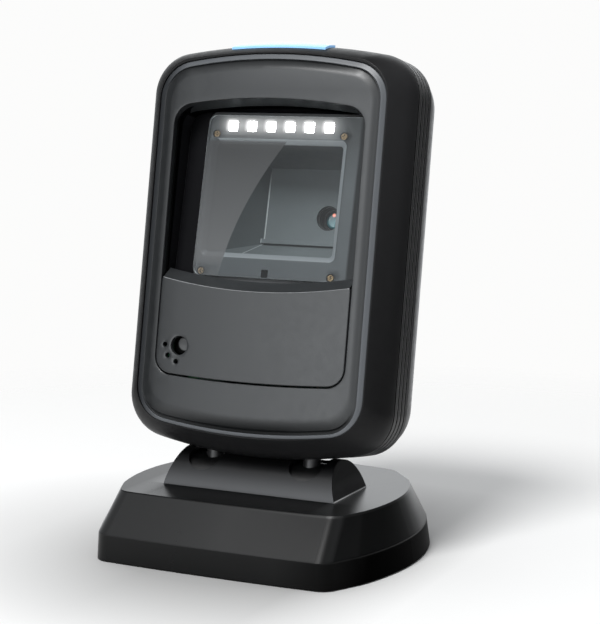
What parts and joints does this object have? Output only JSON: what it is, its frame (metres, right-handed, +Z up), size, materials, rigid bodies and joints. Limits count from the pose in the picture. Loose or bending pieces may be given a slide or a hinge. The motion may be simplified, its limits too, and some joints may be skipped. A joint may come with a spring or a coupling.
{
  "type": "presentation barcode scanner",
  "caption": "Presentation barcode scanner: an upright reading head with a recessed window, lamp row and top light bar, tilting on a weighted base.",
  "frame": {"origin": "on the bench, straight below the middle of the hinge axis", "axes": "+Z up, -Y towards the user (the window faces -Y), +X to the user's right; the head is at rest, leaning back 10.5 degrees"},
  "size_m": [0.0976, 0.0836, 0.1536],
  "materials": {
    "base_plastic": "glossy black",
    "dark_plastic": "matte black",
    "rubber": "matte",
    "ballast_steel": "plain rolled",
    "zinc_steel": "zinc plated",
    "bright_steel": "ground",
    "drum_plastic": "matte",
    "post_plastic": "satin",
    "face_plastic": "satin dark grey",
    "housing_plastic": "satin black",
    "light_bar_plastic": "translucent blue",
    "circuit_board": "green solder mask",
    "lamp_blue": "lit",
    "surround_plastic": "matte black",
    "window_glass": "clear polished",
    "panel_plastic": "fine matte grey",
    "brass": "turned",
    "lamp_white": "lit",
    "chip_black": "moulded",
    "chamber_plastic": "matte grey",
    "lens_glass": "coated",
    "lamp_red": "lit",
    "button_plastic": "satin grey"
  },
  "bodies": {
    "base": {"base_shell": "base_plastic", "base_plate": "dark_plastic", "anti_slip_pad": "rubber", "counterweight": "ballast_steel", "base_screws": "zinc_steel", "hinge_cover": "base_plastic", "hinge_shaft": "bright_steel", "hinge_brackets": "zinc_steel", "bracket_screws": "zinc_steel", "friction_washers": "bright_steel", "shaft_clips": "bright_steel"},
    "head": {"hinge_drum": "drum_plastic", "neck_posts": "post_plastic", "post_nuts": "zinc_steel", "front_bezel": "face_plastic", "lower_cover": "face_plastic", "front_housing": "housing_plastic", "rear_cover": "housing_plastic", "indicator_light_bar": "light_bar_plastic", "indicator_board": "circuit_board", "indicator_leds": "lamp_blue", "housing_screws": "zinc_steel", "window_surround": "surround_plastic", "window_glass": "window_glass", "inner_panel": "panel_plastic", "panel_screws": "brass", "led_board": "circuit_board", "illumination_leds": "lamp_white", "presence_sensor": "chip_black", "optical_chamber": "chamber_plastic", "chamber_screws": "zinc_steel", "engine_housing": "dark_plastic", "aimer_lens": "lens_glass", "aimer_led": "lamp_red", "lens_barrel": "dark_plastic", "camera_lens": "lens_glass", "image_sensor": "chip_black", "imager_board": "circuit_board", "main_board": "circuit_board", "board_screws": "zinc_steel", "board_standoffs": "brass", "processor_chips": "chip_black", "data_socket": "dark_plastic", "switch_board": "circuit_board", "tactile_switch": "chip_black", "beeper": "chip_black"},
    "button": {"trigger_button": "button_plastic", "switch_plunger": "dark_plastic"}
  },
  "joints": [
    {"name": "head_tilt", "type": "hinge", "parent": "base", "child": "head", "pos_m": [0, 0, 0.0181], "axis": [1, 0, 0], "range_deg": [-15, 25]},
    {"name": "button_press", "type": "slide", "parent": "head", "child": "button", "axis": [0, 0.9833, -0.1822], "range_m": [0, 0.0008], "stiffness_N_per_m": 600}
  ]
}
